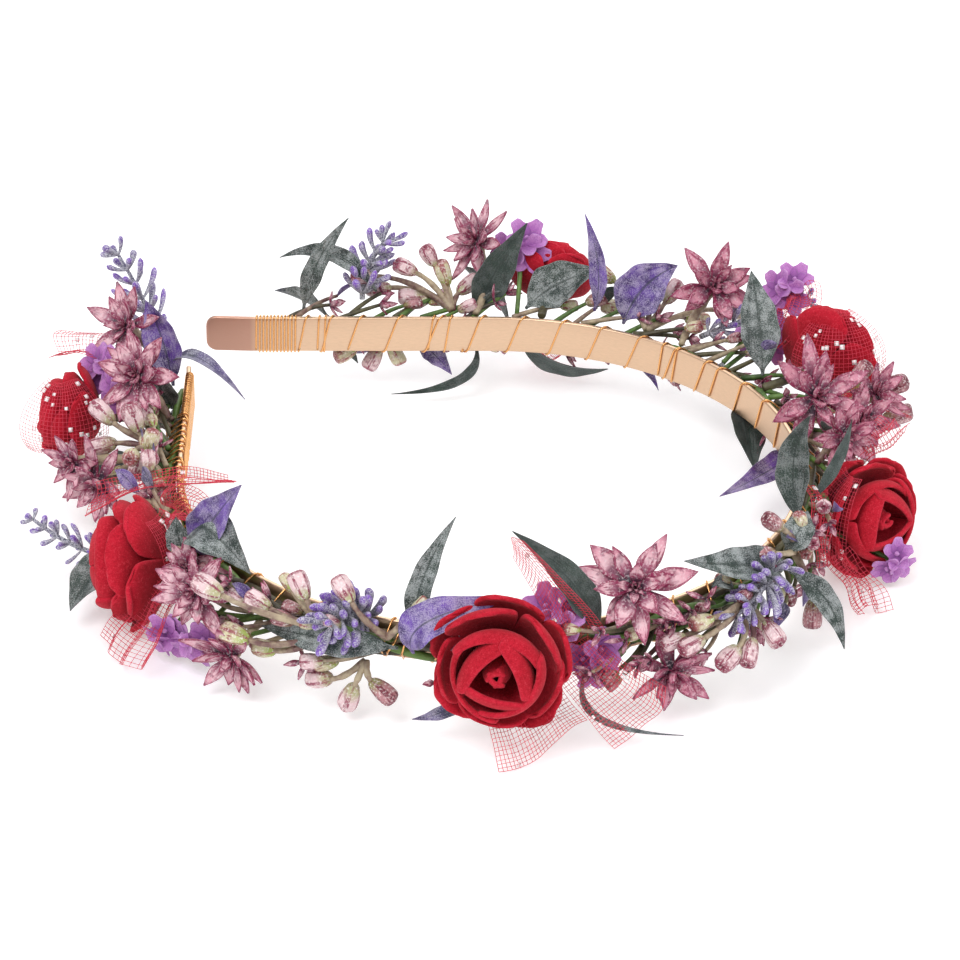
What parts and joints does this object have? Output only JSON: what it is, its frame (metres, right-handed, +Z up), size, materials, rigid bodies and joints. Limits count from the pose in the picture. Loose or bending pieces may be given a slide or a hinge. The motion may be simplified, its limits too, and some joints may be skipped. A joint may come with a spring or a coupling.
{
  "type": "flower crown",
  "caption": "Open ring headband of flat metal strip on edge, with a wired garland of foam roses, small flowers, buds, lavender, leaves and net round its outer side.",
  "frame": {"origin": "under the middle of the crown's box, on the surface that it lies on", "axes": "+Z up out of the surface, along the crown's height; +Y towards the straight back leg; +X towards the middle of the bend's right side"},
  "size_m": [0.1844, 0.1714, 0.0461],
  "materials": {
    "rose_gold_strip": "satin rose-gold plating",
    "gold_wire": "bright drawn wire",
    "stem_plastic": "moulded green plastic",
    "rose_foam": "matte foam sheet",
    "star_petal": "dusty mottled plastic",
    "lilac_fabric": "soft woven petals",
    "lavender_flock": "frosted plastic",
    "bud_plastic": "satin tinted plastic",
    "leaf_plastic": "frosted dark green plastic",
    "net_fabric": "open square net"
  },
  "bodies": {
    "root": {"buds_back_left": "bud_plastic", "buds_back_right": "bud_plastic", "buds_below_back": "bud_plastic", "buds_front_left": "bud_plastic", "buds_front_right": "bud_plastic", "buds_hanging": "bud_plastic", "buds_left": "bud_plastic", "buds_right": "bud_plastic", "buds_right_back": "bud_plastic", "garland_stem_back": "stem_plastic", "garland_stem_left": "stem_plastic", "garland_stem_right": "stem_plastic", "headband": "rose_gold_strip", "lashing_wire_back": "gold_wire", "lashing_wire_front": "gold_wire", "lavender_back_left": "lavender_flock", "lavender_back_right": "lavender_flock", "lavender_front_left": "lavender_flock", "lavender_left_front": "lavender_flock", "lavender_left_tip": "lavender_flock", "lavender_right_front": "lavender_flock", "leaf_back_left": "leaf_plastic", "leaf_back_purple": "leaf_plastic", "leaf_below_back": "leaf_plastic", "leaf_front_purple": "leaf_plastic", "leaf_front_right": "leaf_plastic", "leaf_front_upright": "leaf_plastic", "leaf_left_front": "leaf_plastic", "leaf_left_tip": "leaf_plastic", "leaf_right_back": "leaf_plastic", "leaf_right_frosted": "leaf_plastic", "leaf_right_inner": "leaf_plastic", "leaf_right_upright": "leaf_plastic", "lilac_front": "lilac_fabric", "lilac_front_left": "lilac_fabric", "lilac_left": "lilac_fabric", "lilac_right": "lilac_fabric", "lilac_right_back": "lilac_fabric", "net_front": "net_fabric", "net_left_front": "net_fabric", "net_right_front": "net_fabric", "rose_back": "rose_foam", "rose_front": "rose_foam", "rose_left_back": "rose_foam", "rose_left_front": "rose_foam", "rose_right_back": "rose_foam", "rose_right_front": "rose_foam", "star_flower_back": "star_petal", "star_flower_back_right": "star_petal", "star_flower_front_left": "star_petal", "star_flower_front_right": "star_petal", "star_flower_left_lower": "star_petal", "star_flower_left_tip": "star_petal", "star_flower_left_upper": "star_petal", "star_flower_low_left": "star_petal", "star_flower_low_right": "star_petal", "star_flower_right_outer": "star_petal", "star_flower_right_upper": "star_petal", "wire_coil_back_tip": "gold_wire", "wire_coil_left_tip": "gold_wire"}
  },
  "joints": []
}
